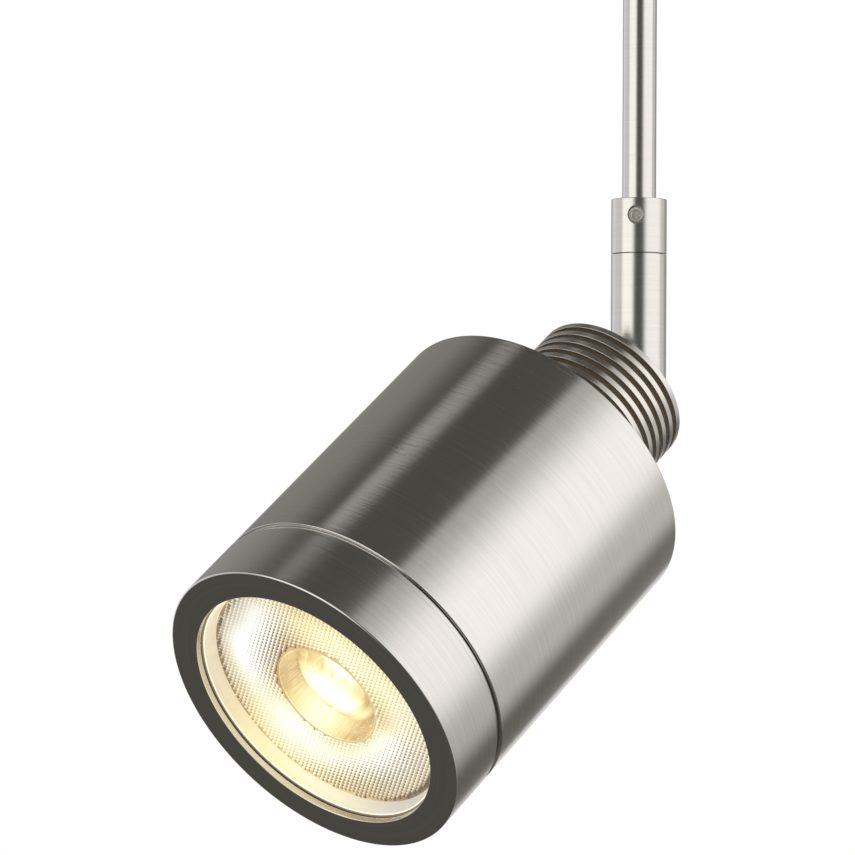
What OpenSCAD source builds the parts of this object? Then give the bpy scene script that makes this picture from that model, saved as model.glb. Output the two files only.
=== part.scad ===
// Track spotlight: a cylinder head on a slim stem, hung from a twist-lock track adapter.
// Millimetres, +Z up. The origin is the middle of the adapter's top face, which bears on the track.
// The stem runs down -Z and the head points to -Y. Head parts are drawn hanging straight down:
// their stations are distances below the tilt axis, and in_head() swings them to the aimed pose.

/* [Head] */
// Outer diameter of the head and its bezel
body_d = 60; // [50:1:80]
// Length of the head's tube
body_len = 56.6; // [50:0.1:90]
// Wall of the head's tube
body_wall = 2; // [1.5:0.1:3]
// Thickness of the tube's rear wall
rear_wall = 4; // [3:0.5:6]
// Width of the groove between tube and bezel
seam_w = 1.5; // [0.5:0.1:3]
// Depth of that groove
seam_depth = 0.6; // [0.2:0.1:1.2]
// Length of the bezel ring
bezel_len = 12.6; // [11:0.1:20]
// Width of the bezel's front face, from its rim to the opening
bezel_rim = 5.4; // [4.5:0.1:8]
// Thickness of the lip in front of the lens
bezel_lip = 1.3; // [1:0.1:3]
// Length of bezel thread inside the tube
thread_len = 4; // [3:0.5:6]
// Small chamfer on the turned rims
rim_chamfer = 0.3; // [0.1:0.1:0.5]

/* [Finned neck] */
// Diameter over the fins
neck_d = 30.8; // [25:0.1:40]
// Length from the rear disc to the head's tube
neck_len = 25; // [12:0.1:40]
// Thickness of the rear disc
rear_disc = 1.2; // [1:0.1:2]
// Thickness of a fin
fin_t = 1.16; // [0.8:0.02:2]
// Gap between fins
fin_gap = 1.17; // [0.8:0.02:2]
// Depth of the gaps
fin_depth = 3.6; // [2:0.1:4]

/* [Aim] */
// Tilt of the head from straight down, in degrees
aim_tilt = 52.3; // [0:0.1:90]
// Distance from the tilt axis to the rear disc
pivot_back = 10.2; // [9.5:0.1:15]

/* [Swivel barrel] */
// Diameter of barrel and coupling
barrel_d = 10.4; // [10:0.1:14]
// Height of the swivel seam above the tilt axis
barrel_above = 19.65; // [18:0.05:40]
// Length of the coupling sleeve
coupling_len = 10.25; // [9.5:0.05:20]
// Gap at the swivel seam
swivel_gap = 0.15; // [0.1:0.05:0.3]
// Bearing of the set screw, from the head's side towards +X, in degrees
set_screw_turn = 35.4; // [0:0.1:90]

/* [Stem] */
// Outer diameter of the stem tube
stem_d = 6.35; // [5.2:0.05:7.6]
// Bore of the stem tube
stem_bore = 4.5; // [4:0.1:4.9]
// Visible stem between adapter and coupling
stem_len = 76.2; // [50:0.1:300]
// Diameter of a lead over its insulation
lead_d = 1.2; // [0.8:0.1:1.4]

/* [Adapter] */
// Length of the adapter housing
adapter_len = 78; // [74:1:120]
// Width of the adapter housing
adapter_w = 34; // [32:1:44]
// Height of the adapter below the track
adapter_h = 20; // [19:0.5:30]
// Wall and floor of the housing
adapter_wall = 2; // [1.5:0.1:3]
// Thickness of the cover that meets the track
cover_t = 2.4; // [2:0.1:4]
// Thickness of the track's lips that the lock turns over
track_lip = 2; // [1:0.1:4]
// Width of the track's slot
track_slot = 16; // [15:0.5:20]
// Reach of the lock's lugs, tip to tip
lug_span = 24; // [22:0.5:30]

/* [Optics] */
// Thickness of the gasket between the lip and the lens
gasket_t = 0.4; // [0.3:0.1:1]
// Height of the clear rim around the lens's patterned floor
lens_rim_h = 2.6; // [1:0.1:4]
// Height of the collimator from its foot to that floor
lens_h = 16; // [14:0.5:20]
// Radius of the lens's front recess
lens_recess_r = 10; // [8:0.1:12]
// Depth of that recess
lens_recess_depth = 4.5; // [3:0.1:7]
// Diameter of the light-emitting disc
emitter_d = 11; // [8:0.5:12]

/* [Driver] */
// Diameter of the driver's round board
driver_d = 46; // [40:0.5:47]
// Thickness of the circuit boards
board_t = 1.6; // [1:0.1:2]
// Length of the board's standoffs
standoff_len = 12; // [8:0.5:14]

/* [Hidden] */

// Fits
slip = 0.05;          // radial clearance of a turned fit
clear = 0.3;          // gap between pieces that move past each other
eps = 0.01;           // overshoot of a cut through a face

// Screw sizes, each as [shank radius, head radius, head height, socket across corners]
m2 = [1.0, 1.9, 1.3, 1.7];
m3 = [1.5, 2.6, 1.6, 2.3];
m4 = [2.0, 3.4, 2.0, 2.9];

// Heights of the fixed parts
adapter_bottom = -adapter_h;
housing_top = -cover_t;
floor_top = adapter_bottom + adapter_wall;
coupling_top = adapter_bottom - stem_len;
seam_z = coupling_top - coupling_len;
pivot_z = seam_z - swivel_gap - barrel_above;

// Stations along the head, measured from the tilt axis
neck_rear = pivot_back;
tube_rear = neck_rear + neck_len;
tube_front = tube_rear + body_len;
bezel_rear = tube_front + seam_w;
bezel_front = bezel_rear + bezel_len;
lip_rear = bezel_front - bezel_lip;
lens_front = lip_rear - gasket_t;
lens_floor = lens_front - lens_rim_h;
lens_rear = lens_floor - lens_h;
emitter_t = 1;
emitter_front = lens_rear - clear;
led_face = emitter_front - emitter_t;
spreader_front = led_face - board_t;
spreader_t = 6;
spreader_skirt = 12;
driver_front = spreader_front - spreader_t - standoff_len;
driver_rear = driver_front - board_t;

// Radii of the head
body_r = body_d / 2;
body_bore_r = body_r - body_wall;
thread_r = body_bore_r - slip;
opening_r = body_r - bezel_rim;
bezel_bore_r = thread_r - 1.3;
holder_r = bezel_bore_r - 0.5;
flange_r = opening_r + 0.6;
lens_rim_r = opening_r - 0.3;
lens_floor_r = opening_r - 0.9;

// Neck and pivot
neck_r = neck_d / 2;
neck_core_r = neck_r - fin_depth;
neck_bore_r = 5.5;
fin_pitch = fin_t + fin_gap;
fin_count = floor((neck_len - rear_disc) / fin_pitch);
neck_screw_r = (neck_bore_r + neck_core_r) / 2;
axle = m3;
axle_seat = 1.9;
axle_tip = 0.8;
eye_r = 2.25;
lug_t = 2.2;
washer_t = 0.4;
slot_w = lug_t + 2 * washer_t + 2 * slip;
lug_base_t = 2;
lug_base_r = 7;
spigot_r = 6;
spigot_len = 8;
lead_r = lead_d / 2;
neck_lead_x = lead_r + 0.4;
neck_lead_y = eye_r + lead_r + 0.05;
slot_top = neck_lead_y + lead_r + 0.05;

// Swivel
barrel_r = barrel_d / 2;
barrel_cap = 3;
stud_r = 2.6;
stud_head_r = 3.6;
stud_head_t = 2;
swivel_washer_t = 0.5;
stud_bore_r = 1.7;
stem_seat = 6.5;
stop_r = (stud_r + barrel_r) / 2 + 0.15;
stop_pin_r = 0.4;
stop_stub = 14;
lead_apart = 0.75;
stem_r = stem_d / 2;

// Adapter
end_r = adapter_w / 2;
lock_x = -(adapter_len - adapter_w) / 2;
key_x = -lock_x;
post_r = track_slot / 2 - 1;
lug_z = track_lip + 0.4;
lug_t_lock = 3;
flange_top = housing_top - clear;
flange_t = 3;
flange_low = flange_top - flange_t;
blade_t = 0.8;
blade_y = 5;
wiper_low = flange_low - blade_t;
terminal_top = wiper_low - 0.1;
terminal_x = lock_x + 11;
terminal_y = 7;
lever_top = flange_low - 3.4;
lever_t = 2.5;
lever_w = 6;
lever_reach = end_r + 6;
square_peg = 5;
strip_t = 0.6;
strip_w = 5;
strip_low = floor_top + 2;
nut_t = 3.2;

module in_head() translate([0, 0, pivot_z]) rotate([-aim_tilt, 0, 0]) children();

// A turned piece of the head from [radius, station] points
module turned(outline) rotate_extrude($fn = 96) polygon([for (p = outline) [p[0], -p[1]]]);

// A plain ring or disc of the head between two stations
module ring(outer, inner, rear, front) turned([[inner, rear], [outer, rear], [outer, front], [inner, front]]);

// A cylinder between two stations of the head
module bar(r, rear, front, sides = 48) translate([0, 0, -front]) cylinder(r = r, h = front - rear, $fn = sides);

// Children repeated at equal angles on a circle
module around(count, radius, first = 0)
    for (i = [0 : count - 1]) rotate([0, 0, first + i * 360 / count]) translate([radius, 0, 0]) children();

// A socket-head screw along Z: the head sits on z = 0 and the shank runs down
module cap_screw(size, length) difference() {
    union() {
        cylinder(r = size[1], h = size[2], $fn = 48);
        translate([0, 0, -length]) cylinder(r = size[0], h = length + eps, $fn = 32);
    }
    translate([0, 0, size[2] * 0.4]) cylinder(d = size[3], h = size[2], $fn = 6);
}

// A tube of insulation swept along hand-set points
function unit(v) = v / norm(v);
function heading(p, i) = unit(p[min(i + 1, len(p) - 1)] - p[max(i - 1, 0)]);
function side_of(d) = unit(cross(d, abs(d[0]) > 0.9 ? [0, 1, 0] : [1, 0, 0]));
function lead_ring(p, i, r, sides) = let (d = heading(p, i), u = side_of(d), v = cross(d, u))
    [for (k = [0 : sides - 1]) p[i] + r * (cos(k * 360 / sides) * u + sin(k * 360 / sides) * v)];
module lead(p, r = lead_r, sides = 8) polyhedron(
    points = [for (i = [0 : len(p) - 1]) each lead_ring(p, i, r, sides)],
    faces = concat(
        [[for (k = [0 : sides - 1]) k]],
        [for (i = [0 : len(p) - 2], k = [0 : sides - 1])
            [i * sides + k, (i + 1) * sides + k, (i + 1) * sides + (k + 1) % sides, i * sides + (k + 1) % sides]],
        [[for (k = [sides - 1 : -1 : 0]) (len(p) - 1) * sides + k]]));

// ---- Adapter ----

module stadium(inset, height) hull() for (x = [lock_x, key_x])
    translate([x, 0, 0]) cylinder(r = end_r - inset, h = height, $fn = 64);

module stadium_outline(inset) {
    translate([lock_x, 0]) circle(r = end_r - inset, $fn = 96);
    translate([key_x, 0]) circle(r = end_r - inset, $fn = 96);
    translate([lock_x, -end_r + inset]) square([adapter_len - adapter_w, adapter_w - 2 * inset]);
}

cover_screw_x = key_x - 7;
cover_screw_y = end_r - adapter_wall - m3[1];
module at_cover_screws() for (x = [-cover_screw_x, cover_screw_x], y = [-cover_screw_y, cover_screw_y])
    translate([x, y, 0]) children();

module at_terminals() for (y = [-terminal_y, terminal_y]) translate([terminal_x, y, 0]) children();

// The slot that the lever sweeps, from the housing's end round to its side
module lever_slot() translate([lock_x, 0, lever_top - lever_t - clear])
    linear_extrude(lever_t + 2 * clear) polygon(concat([[0, 0]],
        [for (a = [166 : 8 : 286]) (end_r + 5) * [cos(a), sin(a)]]));

module adapter_housing() color("silver") difference() {
    union() {
        difference() {
            translate([0, 0, adapter_bottom]) linear_extrude(housing_top - adapter_bottom) stadium_outline(0);
            translate([0, 0, floor_top]) linear_extrude(adapter_h) stadium_outline(adapter_wall);
            lever_slot();
        }
        at_cover_screws() translate([0, 0, floor_top - eps])
            cylinder(r = m3[1] + 0.4, h = housing_top - floor_top + eps, $fn = 48);
        at_terminals() translate([0, 0, floor_top - eps])
            cylinder(r = 3, h = terminal_top - blade_t - floor_top + eps, $fn = 48);
        translate([0, 0, floor_top - eps]) cylinder(r = 6.5, h = strip_low - floor_top + eps, $fn = 64);
    }
    at_cover_screws() translate([0, 0, housing_top - 9]) cylinder(r = m3[0] + slip, h = 10, $fn = 32);
    at_terminals() translate([0, 0, terminal_top - blade_t - 5]) cylinder(r = m2[0] + slip, h = 6, $fn = 32);
    translate([0, 0, adapter_bottom - 1]) cylinder(r = stem_r + slip, h = adapter_h, $fn = 48);
}

module adapter_cover() color("dimgray") difference() {
    union() {
        translate([0, 0, housing_top]) linear_extrude(cover_t) stadium_outline(0);
        // the key that keeps the adapter square in the track's slot
        translate([key_x, 0, -eps]) linear_extrude(lug_z + eps) {
            square([8, track_slot - 1], center = true);
            for (x = [-4, 4]) translate([x, 0]) circle(d = track_slot - 1, $fn = 64);
        }
    }
    translate([lock_x, 0, -adapter_h]) cylinder(r = post_r + slip, h = 2 * adapter_h, $fn = 96);
    at_cover_screws() {
        translate([0, 0, -adapter_h]) cylinder(r = m3[0] + 0.1, h = 2 * adapter_h, $fn = 32);
        translate([0, 0, -m3[2] - slip]) cylinder(r = m3[1] + 0.1, h = 5, $fn = 48);
    }
    translate([key_x, 0, -cover_t / 2])
        cube([strip_t + 0.1, strip_w + 0.1, 4 * (cover_t + lug_z)], center = true);
}

module cover_screws() color("silver") at_cover_screws() translate([0, 0, -m3[2] - slip]) cap_screw(m3, 6.5);

module ground_strip() color("goldenrod") {
    low = strip_low;
    translate([key_x - strip_t / 2, -strip_w / 2, low]) cube([strip_t, strip_w, lug_z + strip_t - low]);
    translate([key_x - 5, -strip_w / 2, lug_z]) cube([5, strip_w, strip_t]);
    difference() {
        union() {
            translate([0, -strip_w / 2, low]) cube([key_x, strip_w, strip_t]);
            translate([0, 0, low]) cylinder(r = 5.5, h = strip_t, $fn = 64);
        }
        translate([0, 0, low - 1]) cylinder(r = stem_r + slip, h = 3, $fn = 48);
    }
}

module terminal(side) color("goldenrod") difference() {
    union() {
        translate([lock_x - 3, side * terminal_y - 2, terminal_top - blade_t])
            cube([terminal_x - lock_x + 3, 4, blade_t]);
        translate([terminal_x, side * terminal_y, terminal_top - blade_t]) cylinder(r = 3, h = blade_t, $fn = 48);
    }
    translate([terminal_x, side * terminal_y, terminal_top - 5]) cylinder(r = m2[0] + 0.1, h = 10, $fn = 32);
}
module terminal_live() terminal(1);
module terminal_neutral() terminal(-1);

module terminal_screws() color("silver") at_terminals() translate([0, 0, terminal_top]) cap_screw(m2, 5);

// The lock turns about the round end's axis and is drawn locked, its lugs across the track
module contact_shape(side, grow) translate([lock_x, 0, 0]) mirror([0, side < 0 ? 1 : 0, 0]) {
    translate([-2 - grow, blade_y - grow, wiper_low])
        cube([4 + 2 * grow, blade_t + 2 * grow, lug_z + lug_t_lock + blade_t - wiper_low + grow]);
    translate([-2 - grow, blade_y, lug_z + lug_t_lock]) cube([4 + 2 * grow, lug_span / 2 - blade_y - 0.6, blade_t]);
    translate([-2 - grow, blade_y, wiper_low]) cube([4 + 2 * grow, 4, blade_t]);
}

module lock_turret() color("dimgray") difference() {
    translate([lock_x, 0, 0]) {
        translate([0, 0, flange_top - eps]) cylinder(r = post_r, h = lug_z + lug_t_lock - flange_top + eps, $fn = 96);
        translate([0, 0, flange_low]) cylinder(r = post_r + 2, h = flange_t, $fn = 96);
        translate([0, 0, lever_top]) cylinder(r = 4, h = flange_low - lever_top + eps, $fn = 64);
        translate([0, 0, lever_top - lever_t / 2 - eps])
            cube([square_peg, square_peg, lever_t], center = true);
        intersection() {
            translate([-5, -lug_span / 2, lug_z]) cube([10, lug_span, lug_t_lock]);
            cylinder(r = lug_span / 2, h = adapter_h, $fn = 96);
        }
    }
    contact_shape(1, slip);
    contact_shape(-1, slip);
    translate([lock_x, 0, lever_top - lever_t - 1]) cylinder(r = m2[0] + slip, h = 8, $fn = 32);
}

module lock_lever() color("dimgray") translate([lock_x, 0, lever_top - lever_t]) difference() {
    union() {
        cylinder(r = square_peg * 0.71 + 2, h = lever_t, $fn = 64);
        translate([-lever_reach + lever_w / 2, -lever_w / 2, 0]) cube([lever_reach - lever_w / 2, lever_w, lever_t]);
        translate([-lever_reach + lever_w / 2, 0, 0]) cylinder(d = lever_w, h = lever_t, $fn = 48);
    }
    cube([square_peg + 0.1, square_peg + 0.1, 4 * lever_t], center = true);
}

module turret_screw() color("silver") translate([lock_x, 0, lever_top - lever_t - slip])
    rotate([180, 0, 0]) cap_screw([m2[0], square_peg * 0.71 + 0.8, m2[2], m2[3]], 6);

module contact_live() color("goldenrod") contact_shape(1, 0);
module contact_neutral() color("goldenrod") contact_shape(-1, 0);

// ---- Stem ----

stem_top = strip_low + strip_t + nut_t + 2;

module stem_ferrule() color("silver") translate([0, 0, adapter_bottom]) rotate_extrude($fn = 96)
    polygon([[stem_r + slip, 0], [6, 0], [6, -3.6], [5, -4.6], [stem_r + slip, -4.6]]);

module stem_nut() color("goldenrod") translate([0, 0, strip_low + strip_t]) difference() {
    cylinder(d = 11.5, h = nut_t, $fn = 6);
    translate([0, 0, -1]) cylinder(r = stem_r + slip, h = nut_t + 2, $fn = 48);
}

module stem_tube() color("silver") difference() {
    foot = coupling_top - stem_seat + slip;
    translate([0, 0, foot]) cylinder(d = stem_d, h = stem_top - foot, $fn = 96);
    translate([0, 0, foot - 1]) cylinder(d = stem_bore, h = stem_top - foot + 2, $fn = 96);
}

lead_foot = seam_z - swivel_gap - barrel_cap - swivel_washer_t - stud_head_t;
module supply_lead(side) lead([
    [terminal_x + 3.1, side * 7, terminal_top - 0.4], [terminal_x + 5, side * 6.9, terminal_top - 0.2],
    [terminal_x + 7, side * 6, terminal_top + 0.3], [-1.5, side * 4, terminal_top + 0.8],
    [-0.4, side * 2, terminal_top + 0.2], [0, side * 1, terminal_top - 1.2],
    [0, side * lead_apart, stem_top - 1], [0, side * lead_apart, lead_foot]]);
module lead_live() color("black") supply_lead(1);
module lead_neutral() color("white") supply_lead(-1);

// ---- Swivel ----

screw_z = coupling_top - 3.2;
screw_hole_r = 1.6;
module toward_screw() translate([0, 0, screw_z]) rotate([0, 0, set_screw_turn]) rotate([90, 0, 0]) children();

module coupling_sleeve() color("silver") difference() {
    translate([0, 0, seam_z]) rotate_extrude($fn = 96) polygon([
        [0, 0], [barrel_r, 0], [barrel_r, coupling_len - rim_chamfer],
        [barrel_r - rim_chamfer * 0.3, coupling_len - rim_chamfer * 0.3],
        [barrel_r - rim_chamfer, coupling_len], [0, coupling_len]]);
    translate([0, 0, coupling_top - stem_seat]) cylinder(r = stem_r + slip, h = coupling_len, $fn = 96);
    translate([0, 0, seam_z - 1]) cylinder(r = stud_r, h = coupling_len, $fn = 64);
    toward_screw() cylinder(r = screw_hole_r, h = barrel_r + 1, $fn = 48);
    // the stop pin's track, cut all round but for a stub
    translate([0, 0, seam_z - eps]) rotate([0, 0, 90 + stop_stub / 2]) rotate_extrude(angle = 360 - stop_stub, $fn = 96)
        translate([stop_r - stop_pin_r - 0.1, 0]) square([2 * stop_pin_r + 0.2, 1.3]);
}

module set_screw() color("gray") toward_screw() difference() {
    translate([0, 0, stem_r + 0.02]) cylinder(r = screw_hole_r - 0.02, h = barrel_r - stem_r - 0.45, $fn = 48);
    translate([0, 0, stem_r + 0.7]) cylinder(d = 1.7, h = barrel_r, $fn = 6);
}

module swivel_stud() color("gray") difference() {
    head_top = seam_z - swivel_gap - barrel_cap - swivel_washer_t;
    union() {
        translate([0, 0, head_top - stud_head_t]) cylinder(r = stud_head_r, h = stud_head_t, $fn = 64);
        translate([0, 0, head_top - eps]) cylinder(r = stud_r - 0.01,
            h = coupling_top - stem_seat - head_top, $fn = 64);
    }
    translate([0, 0, head_top - 5]) cylinder(r = stud_bore_r, h = 20, $fn = 48);
}

module swivel_washer() color("silver") difference() {
    low = seam_z - swivel_gap - barrel_cap - swivel_washer_t;
    translate([0, 0, low]) cylinder(r = stud_head_r, h = swivel_washer_t - slip, $fn = 64);
    translate([0, 0, low - 1]) cylinder(r = stud_r + slip, h = 3, $fn = 64);
}

// A unit-high child stretched along the tilt axis between two places on it
module along_axle(from, to) translate([from, 0, pivot_z]) rotate([0, 90, 0]) scale([1, 1, to - from]) children();

barrel_top = seam_z - swivel_gap;
module swivel_barrel() color("silver") difference() {
    union() {
        translate([0, 0, pivot_z]) cylinder(r = barrel_r, h = barrel_above, $fn = 96);
        intersection() {
            translate([0, 0, pivot_z - barrel_r]) cylinder(r = barrel_r, h = barrel_d, $fn = 96);
            translate([-barrel_r, 0, pivot_z]) rotate([0, 90, 0]) cylinder(r = barrel_r, h = barrel_d, $fn = 96);
        }
    }
    translate([0, 0, barrel_top - 10]) cylinder(r = stud_r + slip, h = 20, $fn = 64);
    translate([0, 0, pivot_z + 10]) cylinder(r = stud_head_r + 0.2, h = barrel_above - 10 - barrel_cap, $fn = 64);
    translate([0, 0, pivot_z + slot_top - eps]) cylinder(r = 2.2, h = 10, $fn = 48);
    // the slot that the lug swings in, open below and towards the head, just high enough for the leads over it
    translate([-slot_w / 2, -barrel_d, pivot_z - barrel_d])
        cube([slot_w, barrel_d + eye_r + clear, barrel_d + slot_top]);
    // the tilt screw goes in from -X and threads into the other arm, which it doesn't pierce
    along_axle(-barrel_d, barrel_r - axle_tip + 0.1) cylinder(r = axle[0] + 0.02, h = 1, $fn = 48);
    along_axle(-barrel_d, axle_seat - barrel_r) cylinder(r = axle[1] + slip, h = 1, $fn = 48);
    translate([0, -stop_r, barrel_top - 2.5]) cylinder(r = stop_pin_r, h = 5, $fn = 24);
}

module stop_pin() color("gray") translate([0, -stop_r, barrel_top - 2.5])
    cylinder(r = stop_pin_r, h = 2.5 + swivel_gap + 1, $fn = 24);

module tilt_screw() color("gray") difference() {
    seat = axle_seat - barrel_r;
    union() {
        along_axle(seat - axle[2], seat) cylinder(r = axle[1], h = 1, $fn = 48);
        along_axle(seat - eps, barrel_r - axle_tip) cylinder(r = axle[0], h = 1, $fn = 48);
    }
    along_axle(-barrel_d, seat - 0.6) cylinder(d = axle[3], h = 1, $fn = 6);
}

module barrel_leads() color("black") for (s = [-1, 1])
    lead([[0, s * lead_apart, lead_foot - 0.1], [0, s * lead_apart, pivot_z + slot_top + 0.1]]);

// ---- Head ----

module tilt_lug() color("gray") in_head() difference() {
    union() {
        rotate([0, 90, 0]) translate([0, 0, -lug_t / 2]) cylinder(r = eye_r, h = lug_t, $fn = 64);
        translate([-lug_t / 2, -eye_r, -neck_rear + lug_base_t / 2]) cube([lug_t, 2 * eye_r, neck_rear - lug_base_t / 2]);
        bar(lug_base_r, neck_rear - lug_base_t, neck_rear, 64);
        bar(spigot_r, neck_rear - eps, neck_rear + spigot_len, 64);
    }
    rotate([0, 90, 0]) translate([0, 0, -lug_t]) cylinder(r = axle[0] + slip, h = 2 * lug_t, $fn = 48);
    for (x = [-neck_lead_x, neck_lead_x]) translate([x, -neck_lead_y, 0])
        bar(lead_r + 0.2, 1, neck_rear + spigot_len + 1, 24);
}

module friction_washers() color("white") for (s = [0, 1]) mirror([s, 0, 0]) in_head() rotate([0, 90, 0])
    translate([0, 0, lug_t / 2 + 0.01]) difference() {
        cylinder(r = eye_r - 0.1, h = washer_t, $fn = 64);
        translate([0, 0, -1]) cylinder(r = axle[0] + slip, h = 3, $fn = 48);
    }

// Outline of the finned neck: the rear disc, then a gap and a fin at each pitch
module finned_neck() color("silver") in_head() difference() {
    union() {
        turned([[0, neck_rear], [neck_r - rim_chamfer, neck_rear], [neck_r, neck_rear + rim_chamfer],
            [neck_r, neck_rear + rear_disc], [0, neck_rear + rear_disc]]);
        bar(neck_core_r, neck_rear + rear_disc / 2, tube_rear, 96);
        for (i = [1 : fin_count])
            bar(neck_r, neck_rear + rear_disc + i * fin_pitch - fin_t, neck_rear + rear_disc + i * fin_pitch, 96);
    }
    bar(neck_bore_r, neck_rear - 1, tube_rear + 1);
    bar(spigot_r + slip, neck_rear - 1, neck_rear + spigot_len + 0.2, 64);
    around(3, neck_screw_r, 90) bar(m3[0] + slip, tube_rear - 9, tube_rear + 1, 32);
}

module neck_screws() color("gray") in_head() around(3, neck_screw_r, 90)
    translate([0, 0, -tube_rear - rear_wall - slip]) rotate([180, 0, 0]) cap_screw(m3, rear_wall + 8);

module neck_leads() color("red") in_head() for (s = [-1, 1]) translate([s * neck_lead_x, -neck_lead_y, 0])
    bar(lead_r, neck_rear - lug_base_t, driver_rear - 9, 16);

module wire_grommet() color("black") in_head() difference() {
    union() {
        bar(neck_bore_r - slip, tube_rear + rear_wall - 2, tube_rear + rear_wall + eps, 64);
        bar(neck_screw_r - m3[1] - 0.2, tube_rear + rear_wall, tube_rear + rear_wall + 1, 64);
    }
    for (s = [-1, 1]) translate([s * neck_lead_x, -neck_lead_y, 0]) bar(lead_r + 0.1, tube_rear, tube_rear + 20, 24);
}

module housing_tube() color("silver") in_head() difference() {
    turned([[0, tube_rear], [body_r - rim_chamfer, tube_rear], [body_r, tube_rear + rim_chamfer],
        [body_r, tube_front - rim_chamfer], [body_r - rim_chamfer, tube_front],
        [body_bore_r, tube_front], [body_bore_r, tube_rear + rear_wall], [0, tube_rear + rear_wall]]);
    bar(neck_bore_r, tube_rear - 1, tube_rear + rear_wall + 1);
    around(3, neck_screw_r, 90) bar(m3[0] + 0.1, tube_rear - 1, tube_rear + rear_wall + 1, 32);
}

standoff_circle_r = driver_d / 2 - 4;
led_lead_x = 3.5;
led_lead_y = 15;
holder_screw_r = holder_r - 2.9;
led_board_r = holder_screw_r - m2[1] - 1.2;

module heat_spreader() color("gainsboro") in_head() difference() {
    bar(body_bore_r - slip, spreader_front - spreader_skirt, spreader_front, 96);
    bar(body_bore_r - slip - 2.5, spreader_front - spreader_skirt - 1, spreader_front - spreader_t, 96);
    around(3, standoff_circle_r, 30) bar(m2[0] + slip, spreader_front - spreader_t - 1, spreader_front - 1.5, 32);
    around(3, holder_screw_r, 90) bar(m2[0] + slip, spreader_front - 4.5, spreader_front + 1, 32);
    for (s = [-1, 1]) {
        translate([s * led_screw_x, 0, 0]) bar(m2[0] + slip, spreader_front - 4.5, spreader_front + 1, 32);
        translate([s * led_lead_x, led_lead_y, 0])
            bar(lead_r + 0.3, spreader_front - spreader_t - 1, spreader_front + 1, 24);
    }
}

module driver_board() color("darkgreen") in_head() difference() {
    bar(driver_d / 2, driver_rear, driver_front, 96);
    around(3, standoff_circle_r, 30) bar(m2[0] + 0.1, driver_rear - 1, driver_front + 1, 32);
}

module standoffs() color("goldenrod") in_head() around(3, standoff_circle_r, 30) difference() {
    union() {
        bar(2.5, driver_front, driver_front + standoff_len, 6);
        bar(m2[0], driver_front + standoff_len - eps, driver_front + standoff_len + 4, 32);
    }
    bar(m2[0] + slip, driver_front - 1, driver_front + 6, 32);
}

module board_screws() color("silver") in_head() around(3, standoff_circle_r, 30)
    translate([0, 0, -driver_rear]) cap_screw(m2, board_t + 4);

module driver_capacitor() color("midnightblue") in_head() translate([9, 9, 0]) {
    bar(5, driver_rear - 15, driver_rear - 1.5, 64);
    bar(4.6, driver_rear - 1.6, driver_rear, 64);
}

module driver_coil() color("saddlebrown") in_head() translate([-12, -1, 0]) {
    bar(6.5, driver_rear - 1.5, driver_rear, 64);
    bar(5.2, driver_rear - 8.6, driver_rear - 1.4, 64);
    bar(6.5, driver_rear - 10, driver_rear - 8.5, 64);
}

module driver_chip() color("black") in_head() translate([2, -10 - 6, -driver_rear]) {
    translate([0, 0, 0.1]) cube([9, 5, 1.6]);
    for (i = [0 : 3]) translate([1 + 2.1 * i, -0.9, 0]) cube([0.5, 6.8, 0.4]);
}

module input_terminal() color("green") in_head() translate([-5, -neck_lead_y - 3, -driver_rear]) difference() {
    cube([10, 6, 9]);
    for (s = [-1, 1]) translate([5 + s * 2.6, 3, 8]) cylinder(r = 1.4, h = 2, $fn = 32);
}

module led_leads() color("red") in_head() for (s = [-1, 1]) translate([s * led_lead_x, led_lead_y, 0])
    bar(lead_r, driver_front, led_face + 0.6, 16);

led_screw_x = led_board_r - 3;
module led_board() color("white") in_head() difference() {
    bar(led_board_r, spreader_front, led_face, 96);
    for (s = [-1, 1]) {
        translate([s * led_screw_x, 0, 0]) bar(m2[0] + 0.1, spreader_front - 1, led_face + 1, 32);
        translate([s * led_lead_x, led_lead_y, 0]) bar(lead_r + 0.1, spreader_front - 1, led_face + 1, 24);
    }
}

module led_screws() color("silver") in_head() for (s = [-1, 1]) translate([s * led_screw_x, 0, -led_face])
    rotate([180, 0, 0]) cap_screw(m2, board_t + 3);

module led_emitter() color("gold") in_head() bar(emitter_d / 2, led_face, emitter_front, 64);

seat_front = lens_floor - 1.6;
module optic_holder() color("black") in_head() difference() {
    turned([[holder_r - 5, spreader_front], [holder_r, spreader_front], [holder_r, lens_front - 0.5],
        [flange_r + 0.1, lens_front - 0.5], [flange_r + 0.1, seat_front], [holder_r - 2.6, seat_front],
        [holder_r - 2.6, seat_front - 1], [holder_r - 1, seat_front - 1],
        [holder_r - 1, spreader_front + 1.6], [holder_r - 5, spreader_front + 1.6]]);
    around(3, holder_screw_r, 90) bar(m2[0] + 0.1, spreader_front - 1, spreader_front + 3, 32);
}

module holder_screws() color("silver") in_head() around(3, holder_screw_r, 90)
    translate([0, 0, -spreader_front - 1.6]) rotate([180, 0, 0]) cap_screw([m2[0], m2[1] - 0.1, m2[2], m2[3]], 5);

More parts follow.
